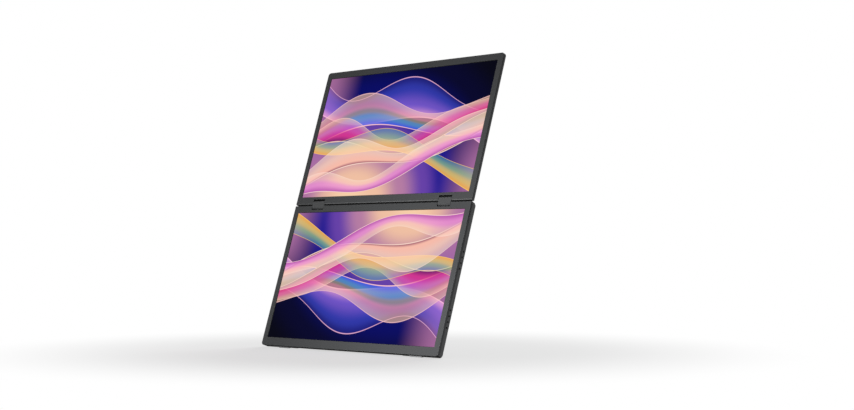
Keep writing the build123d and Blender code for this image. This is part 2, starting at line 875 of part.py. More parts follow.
# The kickstand lies in its own plane through its hinge pin
stand_origin = screen_plane.from_local_coords(Vector(0, -stand_axis_place, -stand_axis_depth))
stand_down = radians(lean - stand_open)
stand_up_dir = (0, sin(stand_down), cos(stand_down))


def across_stand(x):
    """Plane square to the kickstand's pin, where sketch X is up the plate and sketch Y is out of its face."""
    return Plane(origin=stand_origin + Vector(x, 0, 0), x_dir=stand_up_dir, z_dir=(1, 0, 0))


def make_kickstand_plate():
    """Stand plate with a rounded hinge edge, notched for the two knuckles."""
    with BuildPart() as plate:
        with BuildSketch(across_stand(-stand_half)):
            Circle(stand_barrel)
            with Locations((-(stand_end - stand_strip) / 2, 0)):
                Rectangle(stand_end - stand_strip, stand_thickness)
        extrude(amount=2 * stand_half)
        plate_ends = plate.faces().sort_by(Axis.X)
        chamfer(plate_ends[0].edges() + plate_ends[-1].edges(), stand_edge)
        notch = stand_knuckle_width + 2 * stand_knuckle_gap
        for hand in (-1, 1):
            with BuildSketch(across_stand(hand * stand_hinge_offset - notch / 2)):
                with Locations((stand_barrel, 0)):
                    Rectangle(4 * stand_barrel + 4 * stand_back_gap, 2 * stand_thickness)
            extrude(amount=notch, mode=Mode.SUBTRACT)
            bore_length = stand_pin_length + 2 * stand_pin_play
            with BuildSketch(across_stand(hand * stand_hinge_offset - bore_length / 2)):
                Circle(stand_pin_radius + shaft_clearance)
            extrude(amount=bore_length, mode=Mode.SUBTRACT)
    return plate


def make_kickstand_strip():
    """Rubber strip along the free edge of the kickstand, round where it meets the desk."""
    with BuildPart() as strip:
        with BuildSketch(across_stand(-stand_half + stand_strip_inset)):
            with Locations((-stand_end, 0)):
                Circle(stand_barrel)
            with Locations((-stand_end + stand_strip / 2, 0)):
                Rectangle(stand_strip, stand_thickness)
        extrude(amount=2 * (stand_half - stand_strip_inset))
    return strip


def make_stand_pin(hand):
    with BuildPart() as pin:
        with BuildSketch(across_stand(hand * stand_hinge_offset - stand_pin_length / 2)):
            Circle(stand_pin_radius)
        extrude(amount=stand_pin_length)
    return pin


def make_stand_hinge(hand):
    """Knuckle on the pin and a leaf that is screwed inside the casing."""
    with BuildPart() as hinge:
        with BuildSketch(across(hand * stand_hinge_offset - stand_knuckle_width / 2)):
            with Locations((-stand_axis_place, -stand_axis_depth)):
                Circle(stand_barrel)
            leaf_end = -stand_axis_place + stand_leaf_length
            with Locations(((leaf_end - stand_axis_place) / 2, -stand_axis_depth + stand_leaf_thickness / 2)):
                Rectangle(stand_leaf_length, stand_leaf_thickness)
            with Locations((-stand_axis_place, -stand_axis_depth)):
                Circle(stand_pin_radius + shaft_clearance, mode=Mode.SUBTRACT)
        extrude(amount=stand_knuckle_width)
        with BuildSketch(behind(stand_axis_depth)):
            with Locations(*stand_leaf_places()):
                Circle(screw_radius + screw_clearance)
        extrude(amount=stand_leaf_thickness, mode=Mode.SUBTRACT)
    return hinge


# Lower display
save(make_bezel(-1, near_edge, lower_far, lower_seam), "lower_bezel")
save(make_lower_back_cover(), "lower_back_cover")
save(make_sheet(-1, bezel_skin, glass_thickness), "lower_lcd_panel")
save(make_sheet(-1, glass_back, backlight_thickness), "lower_backlight")
save(make_driver_board(-1), "lower_driver_board")
save(make_main_board(), "main_board")
for port_name, port in zip(("mini_hdmi_port", "usb_c_port_upper", "usb_c_port_lower"), port_list()):
    save(make_port(*port), port_name)
for group_name, group_start in zip(("upper_screen", "lower_screen"), button_groups):
    save(make_button_board(group_start), f"{group_name}_button_board")
    for count, use in enumerate(("power", "menu", "plus", "minus")):
        save(make_button(group_start + button_pitch * count), f"{group_name}_{use}_button")
save(make_back_feet(), "back_feet")
save(make_base_pads(), "base_pads")
save(make_lower_screws(), "lower_screws")

# Upper display
save(make_bezel(1, upper_edge, upper_far, upper_seam), "upper_bezel")
save(make_upper_back_cover(), "upper_back_cover")
save(make_sheet(1, bezel_skin, glass_thickness), "upper_lcd_panel")
save(make_sheet(1, glass_back, backlight_thickness), "upper_backlight")
save(make_driver_board(1), "upper_driver_board")
save(make_upper_screws(), "upper_screws")

# Hinges, links and what lies on both sides
for hand, name in ((-1, "left"), (1, "right")):
    save(make_speaker(hand), f"{name}_speaker")
    save(make_leaf(-1, hand), f"{name}_lower_leaf")
    save(make_leaf(1, hand), f"{name}_upper_leaf")
    save(make_shaft(-1, hand), f"{name}_lower_shaft")
    save(make_shaft(1, hand), f"{name}_upper_shaft")
    save(make_idler(-1, hand), f"{name}_lower_idler")
    save(make_idler(1, hand), f"{name}_upper_idler")
    save(make_link_cover(hand, Keep.TOP), f"{name}_link_front_cover")
    save(make_link_cover(hand, Keep.BOTTOM), f"{name}_link_back_cover")
    save(make_link_plates(hand), f"{name}_link_plates")
    save(make_friction_curl(hand), f"{name}_friction_curl")
    save(make_stand_hinge(hand), f"{name}_stand_hinge")
    save(make_stand_pin(hand), f"{name}_stand_pin")

# Kickstand
save(make_kickstand_plate(), "kickstand_plate")
save(make_kickstand_strip(), "kickstand_strip")

print("stand opens", round(stand_open, 3), "degrees at rest")
print("hinge line at", round(hinge_place, 3), round(floor_drop, 3))
print("stand pin at", [round(value, 3) for value in stand_origin])
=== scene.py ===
import json
import math
import bmesh
import bpy
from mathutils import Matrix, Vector


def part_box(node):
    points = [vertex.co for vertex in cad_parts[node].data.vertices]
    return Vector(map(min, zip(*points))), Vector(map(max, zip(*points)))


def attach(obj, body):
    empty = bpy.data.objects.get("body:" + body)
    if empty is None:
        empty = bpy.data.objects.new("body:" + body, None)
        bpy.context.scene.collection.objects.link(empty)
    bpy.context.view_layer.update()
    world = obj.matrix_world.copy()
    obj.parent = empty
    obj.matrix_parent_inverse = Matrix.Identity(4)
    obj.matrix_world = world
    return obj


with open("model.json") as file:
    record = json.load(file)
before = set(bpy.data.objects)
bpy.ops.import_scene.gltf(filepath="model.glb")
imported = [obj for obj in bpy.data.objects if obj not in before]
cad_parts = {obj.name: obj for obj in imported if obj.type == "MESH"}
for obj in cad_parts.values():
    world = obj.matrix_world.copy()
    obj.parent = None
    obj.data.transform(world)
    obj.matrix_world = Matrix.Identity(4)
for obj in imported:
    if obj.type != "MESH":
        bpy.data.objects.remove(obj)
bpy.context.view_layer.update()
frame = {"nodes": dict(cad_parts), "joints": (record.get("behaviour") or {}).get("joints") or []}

cadNodes = frame["nodes"]
print("frame is in,", len(cadNodes), "nodes")

# At rest both screens lie in one leaning plane. A place on it is across, up from the hinge line and out of
# the faces, in metres. The hinge line runs on the faces, midway between the two shafts
screenPlane = {
    "lean": math.radians(17.85),
    "shaftDepth": 0.0028,   # from the faces in to the shafts
    "pictureWidth": 0.3442,
    "pictureHeight": 0.1936,
    "pictureNear": 0.0118,  # from the hinge line to the edge of each picture
}
acrossDir = Vector((1, 0, 0))
upDir = Vector((0, math.sin(screenPlane["lean"]), math.cos(screenPlane["lean"])))
outDir = Vector((0, -math.cos(screenPlane["lean"]), math.sin(screenPlane["lean"])))
lowerShaft, upperShaft = [Vector(joint["pos_m"]) for joint in frame["joints"]
                          if joint["name"] in ("lower_hinge", "upper_hinge")]
hingeLine = (lowerShaft + upperShaft) / 2 + screenPlane["shaftDepth"] * outDir


def onPlane(across, up, out=0.0):
    return hingeLine + across * acrossDir + up * upDir + out * outDir


# Helpers for node trees

def feed(tree, value, socket):
    if isinstance(value, bpy.types.NodeSocket):
        tree.links.new(value, socket)
    else:
        socket.default_value = value


def calc(tree, operation, first, second=None, third=None):
    node = tree.nodes.new("ShaderNodeMath")
    node.operation = operation
    for socket, value in zip(node.inputs, (first, second, third)):
        if value is not None:
            feed(tree, value, socket)
    return node.outputs[0]


def times(tree, first, *others):
    for other in others:
        first = calc(tree, "MULTIPLY", first, other)
    return first


def objectSpot(tree):
    return tree.nodes.new("ShaderNodeTexCoord").outputs["Object"]


def along(tree, point, direction):  # how far a point lies along a direction
    node = tree.nodes.new("ShaderNodeVectorMath")
    node.operation = "DOT_PRODUCT"
    feed(tree, point, node.inputs[0])
    feed(tree, direction, node.inputs[1])
    return node.outputs["Value"]


def riseAt(tree, spot):  # how far up from the hinge line
    return calc(tree, "SUBTRACT", along(tree, spot, upDir), hingeLine.dot(upDir))


def depthAt(tree, spot):  # how far in behind the faces
    return calc(tree, "SUBTRACT", hingeLine.dot(outDir), along(tree, spot, outDir))


def near(tree, value, middle, reach):  # 1 where a value is less than reach away from the middle, else 0
    return calc(tree, "LESS_THAN", calc(tree, "ABSOLUTE", calc(tree, "SUBTRACT", value, middle)), reach)


def ease(tree, value, low, high, start=0.0, end=1.0):
    node = tree.nodes.new("ShaderNodeMapRange")
    node.interpolation_type = "SMOOTHSTEP"
    for name, number in (("From Min", low), ("From Max", high), ("To Min", start), ("To Max", end)):
        node.inputs[name].default_value = number
    feed(tree, value, node.inputs["Value"])
    return node.outputs["Result"]


def band(tree, value, rise, fall):  # up over one range and down again over the other
    return times(tree, ease(tree, value, *rise), ease(tree, value, *fall))


def ramp(tree, value, stops):
    node = tree.nodes.new("ShaderNodeValToRGB")
    node.color_ramp.interpolation = "EASE"
    bar = node.color_ramp.elements
    while len(bar) < len(stops):
        bar.new(0.5)
    for element, (place, colour) in zip(bar, stops):
        element.position = place
        element.color = (*colour, 1)
    feed(tree, value, node.inputs[0])
    return node.outputs["Color"]


def blendColours(tree, amount, below, above):
    node = tree.nodes.new("ShaderNodeMix")
    node.data_type = "RGBA"
    feed(tree, amount, node.inputs[0])
    for socket, value in ((node.inputs[6], below), (node.inputs[7], above)):
        feed(tree, value if isinstance(value, bpy.types.NodeSocket) else (*value, 1), socket)
    return node.outputs[2]


def scaled(colour, share):
    return tuple(part * share for part in colour)


def noise(tree, scale, detail=2.0, roughness=0.5, stretch=None):
    spot = objectSpot(tree)
    if stretch:
        mapping = tree.nodes.new("ShaderNodeMapping")
        mapping.inputs["Scale"].default_value = stretch
        tree.links.new(spot, mapping.inputs["Vector"])
        spot = mapping.outputs["Vector"]
    node = tree.nodes.new("ShaderNodeTexNoise")
    node.inputs["Scale"].default_value = scale
    node.inputs["Detail"].default_value = detail
    node.inputs["Roughness"].default_value = roughness
    tree.links.new(spot, node.inputs["Vector"])
    return node.outputs["Fac"]


def bump(tree, height, shader, distance, strength=1.0):
    node = tree.nodes.new("ShaderNodeBump")
    node.inputs["Distance"].default_value = distance
    node.inputs["Strength"].default_value = strength
    tree.links.new(height, node.inputs["Height"])
    tree.links.new(node.outputs["Normal"], shader.inputs["Normal"])


def freshMaterial(name):
    material = bpy.data.materials.new(name)
    material.use_nodes = True
    tree = material.node_tree
    return material, tree, tree.nodes["Principled BSDF"]


def dress(material, *names):
    for name in names:
        slots = cadNodes[name].data.materials
        slots.clear()
        slots.append(material)


# Matt casings: moulded frames and links, anodised backs and stand

casingFinishes = {
    "mouldedGraphite": {"colour": (0.031, 0.032, 0.033), "shade": 0.94, "rub": (0.065, 0.066, 0.068),
                        "metallic": 0.0, "roughness": 0.52, "specular": 0.10, "paintHingeShading": True,
                        "grain": 2600, "grainDepth": 0.0000025, "rubWidth": 0.0005},
    "anodisedGraphite": {"colour": (0.047, 0.048, 0.049), "shade": 0.96, "rub": (0.11, 0.11, 0.115),
                         "metallic": 0.30, "roughness": 0.50, "specular": 0.30, "paintHingeShading": True,
                         "grain": 5200, "grainDepth": 0.000004, "rubWidth": 0.0004},
    "standGraphite": {"colour": (0.042, 0.043, 0.044), "shade": 0.95, "rub": (0.11, 0.11, 0.115),
                      "metallic": 0.40, "roughness": 0.46, "specular": 0.30, "paintHingeShading": False,
                      "grain": 4200, "grainDepth": 0.000004, "rubWidth": 0.0004},
    "linkGraphite": {"colour": (0.034, 0.035, 0.036), "shade": 0.82, "rub": (0.085, 0.085, 0.09),
                     "metallic": 0.0, "roughness": 0.44, "specular": 0.18, "paintHingeShading": False,
                     "grain": 3400, "grainDepth": 0.000006, "rubWidth": 0.0004},
    "blackPlastic": {"colour": (0.003, 0.003, 0.003), "shade": 0.8, "rub": (0.008, 0.008, 0.008),
                     "metallic": 0.0, "roughness": 0.46, "specular": 0.06, "paintHingeShading": False,
                     "grain": 3000, "grainDepth": 0.000006, "rubWidth": 0.0003},
}

# What the casings share: faint clouds, paler flecks, an uneven sheen and rubbed edges
casingWear = {"clouds": 9, "cloudRange": (0.2, 0.8), "fleck": 1.08, "fleckRange": (0.55, 0.75), "relief": 0.8,
              "sheen": 240, "sheenRange": (0.3, 0.7), "sheenSpread": 0.03, "rubShare": 0.4, "rubSamples": 8,
              "flatToEdge": (0.995, 0.72)}  # how well the rounded normal matches the face's own

# Ends of the casings: painted shade on the end faces at the hinge and underneath, and on the bevel of the
# upper frame, with a painted highlight near its front edge. Ranges such as facingUp say how far a normal
# points up or out
hingeShading = {"reach": 0.0032, "foot": -0.2150, "shadeToBright": (0.0010, 0.0006),
                  "facingUp": (0.2, 0.5), "facingDown": (-0.86, -0.94), "facingFloor": (-0.55, -0.9),
                  "bevelDown": (-0.5, -0.6), "bevelOut": (0.5, 0.6),
                  "paintedShade": (0.001, 0.001, 0.001), "cut": (0.070, 0.071, 0.072)}

# Painted shade in the recesses round the links, which are a little wider than the links
linkRecessShade = {"gap": 0.00065, "reach": 0.00835, "skin": 0.0005}

# Painted shade on the floor of the hooked slot in the right side of the lower frame
sideSlotShade = {"deep": 0.0007, "spread": 0.00015, "from": -0.0335, "skin": 0.0007,
                  "colour": (0.001, 0.001, 0.001)}


def edgeRub(tree, radius):  # near 1 on sharp outer and inner edges, 0 on flat walls
    rounded = tree.nodes.new("ShaderNodeBevel")
    rounded.samples = casingWear["rubSamples"]
    rounded.inputs["Radius"].default_value = radius
    face = tree.nodes.new("ShaderNodeNewGeometry")
    match = along(tree, rounded.outputs["Normal"], face.outputs["Normal"])
    return ease(tree, match, *casingWear["flatToEdge"])


# paints shade on the floor of the hooked slot
def paintSideSlotShade(tree, colour):
    spot = objectSpot(tree)
    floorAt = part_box("lower_bezel")[1].x - sideSlotShade["deep"]
    slotFloor = near(tree, along(tree, spot, acrossDir), floorAt, sideSlotShade["spread"])
    above = calc(tree, "GREATER_THAN", riseAt(tree, spot), sideSlotShade["from"])
    behind = calc(tree, "GREATER_THAN", depthAt(tree, spot), sideSlotShade["skin"])
    return blendColours(tree, times(tree, slotFloor, above, behind), colour, sideSlotShade["colour"])


def paintHingeShading(tree, colour):  # also gives the share of painted shade, which is dull
    spot = tree.nodes.new("ShaderNodeTexCoord").outputs
    rise, depth = riseAt(tree, spot["Object"]), depthAt(tree, spot["Object"])
    facing, facingOut = along(tree, spot["Normal"], upDir), along(tree, spot["Normal"], outDir)
    # painted shade on the end faces by the hinge line and on the faces underneath the foot
    close = near(tree, rise, 0.0, hingeShading["reach"])
    ends = calc(tree, "MAXIMUM", ease(tree, facing, *hingeShading["facingUp"]),
                ease(tree, facing, *hingeShading["facingDown"]))
    under = times(tree, calc(tree, "LESS_THAN", rise, hingeShading["foot"]),
                  ease(tree, facing, *hingeShading["facingFloor"]))
    paintedShade = calc(tree, "MAXIMUM", times(tree, close, ends), under)
    # painted shade in the recesses round the links
    aside = calc(tree, "ABSOLUTE", along(tree, spot["Object"], acrossDir))
    inner, outer = [corner.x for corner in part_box("right_link_front_cover")]
    recess = times(tree, near(tree, aside, (inner + outer) / 2, (outer - inner) / 2 + linkRecessShade["gap"]),
                   near(tree, rise, 0.0, linkRecessShade["reach"]),
                   calc(tree, "GREATER_THAN", depth, linkRecessShade["skin"]))
    paintedShade = calc(tree, "MAXIMUM", paintedShade, recess)
    # painted highlight on the front of the upper frame's bevel, painted shade deeper in
    bevel = times(tree, ease(tree, facing, *hingeShading["bevelDown"]),
                  ease(tree, facingOut, *hingeShading["bevelOut"]), close)
    highlightShare = times(tree, bevel, ease(tree, depth, *hingeShading["shadeToBright"]))
    paintedShade = calc(tree, "MAXIMUM", paintedShade, calc(tree, "SUBTRACT", bevel, highlightShare))
    colour = blendColours(tree, paintedShade, colour, hingeShading["paintedShade"])
    return blendColours(tree, highlightShare, colour, hingeShading["cut"]), paintedShade


def casingMaterial(name):
    finish = casingFinishes[name]
    material, tree, shader = freshMaterial(name)
    shader.inputs["Metallic"].default_value = finish["metallic"]
    shader.inputs["Specular IOR Level"].default_value = finish["specular"]
    clouds = ease(tree, noise(tree, casingWear["clouds"]), *casingWear["cloudRange"])
    colour = blendColours(tree, clouds, scaled(finish["colour"], finish["shade"]), finish["colour"])
    speckle = noise(tree, finish["grain"], 1.0)
    flecks = ease(tree, speckle, *casingWear["fleckRange"])
    colour = blendColours(tree, flecks, colour, scaled(finish["colour"], casingWear["fleck"]))
    rub = times(tree, edgeRub(tree, finish["rubWidth"]), casingWear["rubShare"])
    colour = blendColours(tree, rub, colour, finish["rub"])
    dull, spread = finish["roughness"], casingWear["sheenSpread"]
    roughness = ease(tree, noise(tree, casingWear["sheen"], 3.0), *casingWear["sheenRange"],
                     dull - spread, dull + spread)
    # painted shade at the hinge ends, underneath, round the links and in the side slot, and a painted
    # highlight on the upper frame's bevel
    if finish["paintHingeShading"]:
        colour, paintedShade = paintHingeShading(tree, paintSideSlotShade(tree, colour))
        roughness = calc(tree, "MAXIMUM", roughness, paintedShade)
    tree.links.new(colour, shader.inputs["Base Color"])
    tree.links.new(roughness, shader.inputs["Roughness"])
    bump(tree, speckle, shader, finish["grainDepth"], casingWear["relief"])
    return material


linkGraphite = casingMaterial("linkGraphite")
blackPlastic = casingMaterial("blackPlastic")
dress(casingMaterial("mouldedGraphite"), "lower_bezel", "upper_bezel")
dress(casingMaterial("anodisedGraphite"), "lower_back_cover", "upper_back_cover")
dress(casingMaterial("standGraphite"), "kickstand_plate")
for side in ("left", "right"):
    dress(linkGraphite, f"{side}_link_front_cover", f"{side}_link_back_cover")
    dress(blackPlastic, f"{side}_speaker")
for group in ("upper_screen", "lower_screen"):
    for use in ("power", "menu", "plus", "minus"):
        dress(blackPlastic, f"{group}_{use}_button")
print("casings are dressed")


# Rubber of the feet, pads and stand strip

rubberFinish = {"colour": (0.105, 0.106, 0.108), "worn": (0.16, 0.16, 0.162), "specular": 0.3,
                "roughness": (0.74, 0.90), "stipple": 1800, "stippleRange": (0.3, 0.7),
                "stippleDepth": 0.00004, "scuffs": 160, "scuffRange": (0.52, 0.7), "scuffShare": 0.6}


def footRubber():
    material, tree, shader = freshMaterial("footRubber")
    shader.inputs["Specular IOR Level"].default_value = rubberFinish["specular"]
    stipple = noise(tree, rubberFinish["stipple"])
    scuffs = ease(tree, noise(tree, rubberFinish["scuffs"], 4.0, 0.7), *rubberFinish["scuffRange"])
    colour = blendColours(tree, times(tree, scuffs, rubberFinish["scuffShare"]),
                          rubberFinish["colour"], rubberFinish["worn"])
    roughness = ease(tree, stipple, *rubberFinish["stippleRange"], *rubberFinish["roughness"])
    tree.links.new(colour, shader.inputs["Base Color"])
    tree.links.new(roughness, shader.inputs["Roughness"])
    bump(tree, stipple, shader, rubberFinish["stippleDepth"])
    return material


dress(footRubber(), "back_feet", "base_pads", "kickstand_strip")


# Hinge steel, drawn along the shafts, and the nickel shells of the sockets

metalFinishes = {
    "hingeSteel": {"colour": (0.46, 0.46, 0.47), "dull": (0.30, 0.30, 0.31), "roughness": (0.25, 0.41),
                   "stretch": (0.04, 1, 1), "lines": 2400, "lineDepth": 0.000006},
    "standSteel": {"colour": (0.050, 0.050, 0.052), "dull": (0.032, 0.032, 0.033), "roughness": (0.35, 0.51),
                   "stretch": (0.04, 1, 1), "lines": 2400, "lineDepth": 0.000006},
    "socketNickel": {"colour": (0.66, 0.65, 0.63), "dull": (0.50, 0.49, 0.48), "roughness": (0.17, 0.33),
                     "stretch": (0.1, 1, 1), "lines": 3000, "lineDepth": 0.000004},
}
metalWear = {"stains": 220, "stainRange": (0.4, 0.65), "lineRange": (0.25, 0.75)}

# The tongue in the middle of each socket is black plastic
socketTongue = {"depth": 0.0058, "half": 0.0004, "colour": (0.012, 0.012, 0.012)}


def metalMaterial(name):
    finish = metalFinishes[name]
    material, tree, shader = freshMaterial(name)
    lines = noise(tree, finish["lines"], 2.0, 0.6, finish["stretch"])
    stains = ease(tree, noise(tree, metalWear["stains"], 3.0), *metalWear["stainRange"])
    colour = blendColours(tree, stains, finish["colour"], finish["dull"])
    roughness = ease(tree, lines, *metalWear["lineRange"], *finish["roughness"])
    tree.links.new(roughness, shader.inputs["Roughness"])
    bump(tree, lines, shader, finish["lineDepth"])
    return material, tree, shader, colour


def plainSteel(name):
    material, tree, shader, colour = metalMaterial(name)
    shader.inputs["Metallic"].default_value = 1.0
    tree.links.new(colour, shader.inputs["Base Color"])
    return material


def socketNickel():
    material, tree, shader, colour = metalMaterial("socketNickel")
    tongue = near(tree, depthAt(tree, objectSpot(tree)), socketTongue["depth"], socketTongue["half"])
    tree.links.new(blendColours(tree, tongue, colour, socketTongue["colour"]), shader.inputs["Base Color"])
    tree.links.new(calc(tree, "SUBTRACT", 1.0, tongue), shader.inputs["Metallic"])
    return material


hingeSteel = plainSteel("hingeSteel")
standSteel = plainSteel("standSteel")
dress(hingeSteel, "lower_screws", "upper_screws")
for side in ("left", "right"):
    dress(hingeSteel, *[f"{side}_{piece}" for piece in (
        "lower_leaf", "upper_leaf", "lower_shaft", "upper_shaft", "lower_idler", "upper_idler",
        "link_plates", "friction_curl")])
    dress(standSteel, f"{side}_stand_hinge", f"{side}_stand_pin")
dress(socketNickel(), "mini_hdmi_port", "usb_c_port_upper", "usb_c_port_lower")
print("rubber and metal are dressed")


# Boards and light sheets inside the casings

boardFinish = {"mask": (0.010, 0.075, 0.035), "tracks": (0.020, 0.12, 0.055), "chips": (0.012, 0.012, 0.013),
               "grid": 90, "trackWidth": 0.03, "trackHeight": 0.00003,
               "chipScale": 110, "chipRange": (0.6, 0.64), "roughness": (0.3, 0.6)}
sheetFinish = {"dots": 700, "colours": [(0.0, (0.9, 0.9, 0.9)), (0.6, (0.78, 0.79, 0.8))],
               "dotHeight": 0.00001, "clouds": 90, "cloudRange": (0.3, 0.7), "roughness": (0.3, 0.42)}


def boardMaterial():
    material, tree, shader = freshMaterial("greenBoard")
    grid = tree.nodes.new("ShaderNodeTexBrick")
    grid.inputs["Scale"].default_value = boardFinish["grid"]
    grid.inputs["Mortar Size"].default_value = boardFinish["trackWidth"]
    for name, part in (("Color1", "mask"), ("Color2", "mask"), ("Mortar", "tracks")):
        grid.inputs[name].default_value = (*boardFinish[part], 1)
    tree.links.new(objectSpot(tree), grid.inputs["Vector"])
    chips = ease(tree, noise(tree, boardFinish["chipScale"]), *boardFinish["chipRange"])
    colour = blendColours(tree, chips, grid.outputs["Color"], boardFinish["chips"])
    tree.links.new(colour, shader.inputs["Base Color"])
    tree.links.new(ease(tree, chips, 0, 1, *boardFinish["roughness"]), shader.inputs["Roughness"])
    bump(tree, grid.outputs["Fac"], shader, boardFinish["trackHeight"])
    return material


def lightSheet():
    material, tree, shader = freshMaterial("lightSheet")
    dots = tree.nodes.new("ShaderNodeTexVoronoi")
    dots.inputs["Scale"].default_value = sheetFinish["dots"]
    tree.links.new(objectSpot(tree), dots.inputs["Vector"])
    fromDot = dots.outputs["Distance"]
    clouds = noise(tree, sheetFinish["clouds"])
    roughness = ease(tree, clouds, *sheetFinish["cloudRange"], *sheetFinish["roughness"])
    tree.links.new(ramp(tree, fromDot, sheetFinish["colours"]), shader.inputs["Base Color"])
    tree.links.new(roughness, shader.inputs["Roughness"])
    bump(tree, fromDot, shader, sheetFinish["dotHeight"])
    return material


dress(boardMaterial(), "main_board", "lower_driver_board", "upper_driver_board",
      "upper_screen_button_board", "lower_screen_button_board")
dress(lightSheet(), "lower_backlight", "upper_backlight")
print("inner pieces are dressed")


# Small pieces: a rubber bead round each screen window, a dark strip along the upper casing's hinge end that
# closes the gap behind and stands in for the shade in it, and gold contacts on the tongues of the sockets

windowBead = {"wide": 0.00045, "high": 0.00038, "sunk": 0.00005, "glassAt": -0.0008,
              "crown": ((0, 1), (0.4, 1), (0.8, 0.75), (1, 0.3)),  # shares of its width and height
              "colour": (0.006, 0.006, 0.006), "roughness": 0.6, "metallic": 0.0, "grain": 2400}
# A dark strip in the hinge gap, standing in for the gap's shade
gapShadeStrip = {"spans": ((-0.1802, -0.1435), (-0.1174, 0.1174), (0.1435, 0.1802)),
            "profile": ((0.00018, -0.0038), (-0.0001, -0.0039), (-0.00028, -0.0041), (-0.00028, -0.0044),
                        (0.0, -0.00455), (0.00018, -0.00455)),  # each point is up and out
            "colour": (0.004, 0.004, 0.004), "roughness": 0.9, "metallic": 0.0, "grain": 2400}
socketContacts = {"wide": 0.00026, "long": 0.0040, "thick": 0.00004, "slant": 0.0003, "from": -0.1798,
                  "tongue": 0.000352, "pitch": 0.0005,
                  "counts": {"mini_hdmi_port": 15, "usb_c_port_upper": 12, "usb_c_port_lower": 12},
                  "colour": (0.80, 0.56, 0.22), "roughness": 0.28, "metallic": 1.0, "grain": 5000}
smallWear = {"specular": 0.12, "shade": 0.75, "shadeRange": (0.35, 0.7), "sheenRange": (0.3, 0.7),
             "smoother": 0.05, "rougher": 0.06, "relief": 0.000004}
boxFaces = ((0, 1, 2, 3), (4, 5, 6, 7), (0, 1, 5, 4), (1, 2, 6, 5), (2, 3, 7, 6), (3, 0, 4, 7))


def smallMaterial(name, settings):
    material, tree, shader = freshMaterial(name)
    shader.inputs["Specular IOR Level"].default_value = smallWear["specular"]
    shader.inputs["Metallic"].default_value = settings["metallic"]
    speckle = noise(tree, settings["grain"])
    colour = blendColours(tree, ease(tree, speckle, *smallWear["shadeRange"]),
                          scaled(settings["colour"], smallWear["shade"]), settings["colour"])
    roughness = ease(tree, speckle, *smallWear["sheenRange"], settings["roughness"] - smallWear["smoother"],
                     settings["roughness"] + smallWear["rougher"])
    tree.links.new(colour, shader.inputs["Base Color"])
    tree.links.new(roughness, shader.inputs["Roughness"])
    bump(tree, speckle, shader, smallWear["relief"])
    return material


def addPiece(name, body, corners, faces, material):
    mesh = bpy.data.meshes.new(name)
    mesh.from_pydata([tuple(corner) for corner in corners], [], faces)
    shape = bmesh.new()
    shape.from_mesh(mesh)
    bmesh.ops.recalc_face_normals(shape, faces=shape.faces)
    shape.to_mesh(mesh)
    shape.free()
    mesh.materials.append(material)
    piece = bpy.data.objects.new(name, mesh)
    bpy.context.scene.collection.objects.link(piece)
    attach(piece, body)


def joinRings(first, second, count):  # the faces between two rings of corners
    turns = [(turn, (turn + 1) % count) for turn in range(count)]
    return [(first + start, first + end, second + end, second + start) for start, end in turns]


def addWindowBead(name, body, side, material):  # a mitred ring, side 1 above the hinge line and -1 below it
    wide, high, sunk = windowBead["wide"], windowBead["high"], windowBead["sunk"]
    crown = [(wide * inShare, high * upShare) for inShare, upShare in windowBead["crown"]]
    profile = [(0, -sunk), *crown, (wide, -sunk)]
    halfWidth, halfHeight = screenPlane["pictureWidth"] / 2, screenPlane["pictureHeight"] / 2
    middle = screenPlane["pictureNear"] + halfHeight
    corners = [onPlane(across * (halfWidth - inwards), side * (middle + up * (halfHeight - inwards)),
                       windowBead["glassAt"] + out)
               for inwards, out in profile for across, up in ((-1, -1), (1, -1), (1, 1), (-1, 1))]
    faces = []
    for ring in range(len(profile)):
        faces += joinRings(ring * 4, (ring + 1) % len(profile) * 4, 4)
    addPiece(name, body, corners, faces, material)


def addGapShadeStrip(name, material):  # one strip beside and between the links, its profile swept across
    corners, faces = [], []
    count = len(gapShadeStrip["profile"])
    for start, end in gapShadeStrip["spans"]:
        first = len(corners)
        corners += [onPlane(across, up, out) for across in (start, end) for up, out in gapShadeStrip["profile"]]
        faces += [tuple(range(first, first + count)), tuple(range(first + count, first + 2 * count))]
        faces += joinRings(first, first + count, count)
    addPiece(name, "upper_display", corners, faces, material)


def addContacts(name, node, material):  # a row of strips on the front of the tongue and one on its back
    low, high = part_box(node)
    centre = (low + high) / 2 - hingeLine
    start, half = socketContacts["from"], socketContacts["wide"] / 2
    nose, end = start + socketContacts["slant"], start + socketContacts["long"]
    count = socketContacts["counts"][node]
    corners, faces = [], []
    for way in (1, -1):
        inner = centre.dot(outDir) + way * socketContacts["tongue"]
        outer = inner + way * socketContacts["thick"]
        for number in range(count):
            up = centre.dot(upDir) + (number - (count - 1) / 2) * socketContacts["pitch"]
            first = len(corners)
            for out, front in ((inner, start), (outer, nose)):
                corners += [onPlane(front, up - half, out), onPlane(front, up + half, out),
                            onPlane(end, up + half, out), onPlane(end, up - half, out)]
            faces += [tuple(first + corner for corner in face) for face in boxFaces]
    addPiece(name, "lower_display", corners, faces, material)


beadRubber = smallMaterial("beadRubber", windowBead)
addWindowBead("upperWindowBead", "upper_display", 1, beadRubber)
addWindowBead("lowerWindowBead", "lower_display", -1, beadRubber)
# the dark strip that stands in for the shade in the hinge gap
addGapShadeStrip("gapShadeStrip", smallMaterial("gapShadeRubber", gapShadeStrip))
contactGold = smallMaterial("contactGold", socketContacts)
addContacts("wideSocketContacts", "mini_hdmi_port", contactGold)
addContacts("upperSocketContacts", "usb_c_port_upper", contactGold)
addContacts("lowerSocketContacts", "usb_c_port_lower", contactGold)
print("small pieces are in")


# The lit picture: silk ribbons that drift across a night sky with a warm glow low on one side
# Across runs -0.5 to 0.5 and up from 0 at the hinge edge to 0.5625 at the far edge

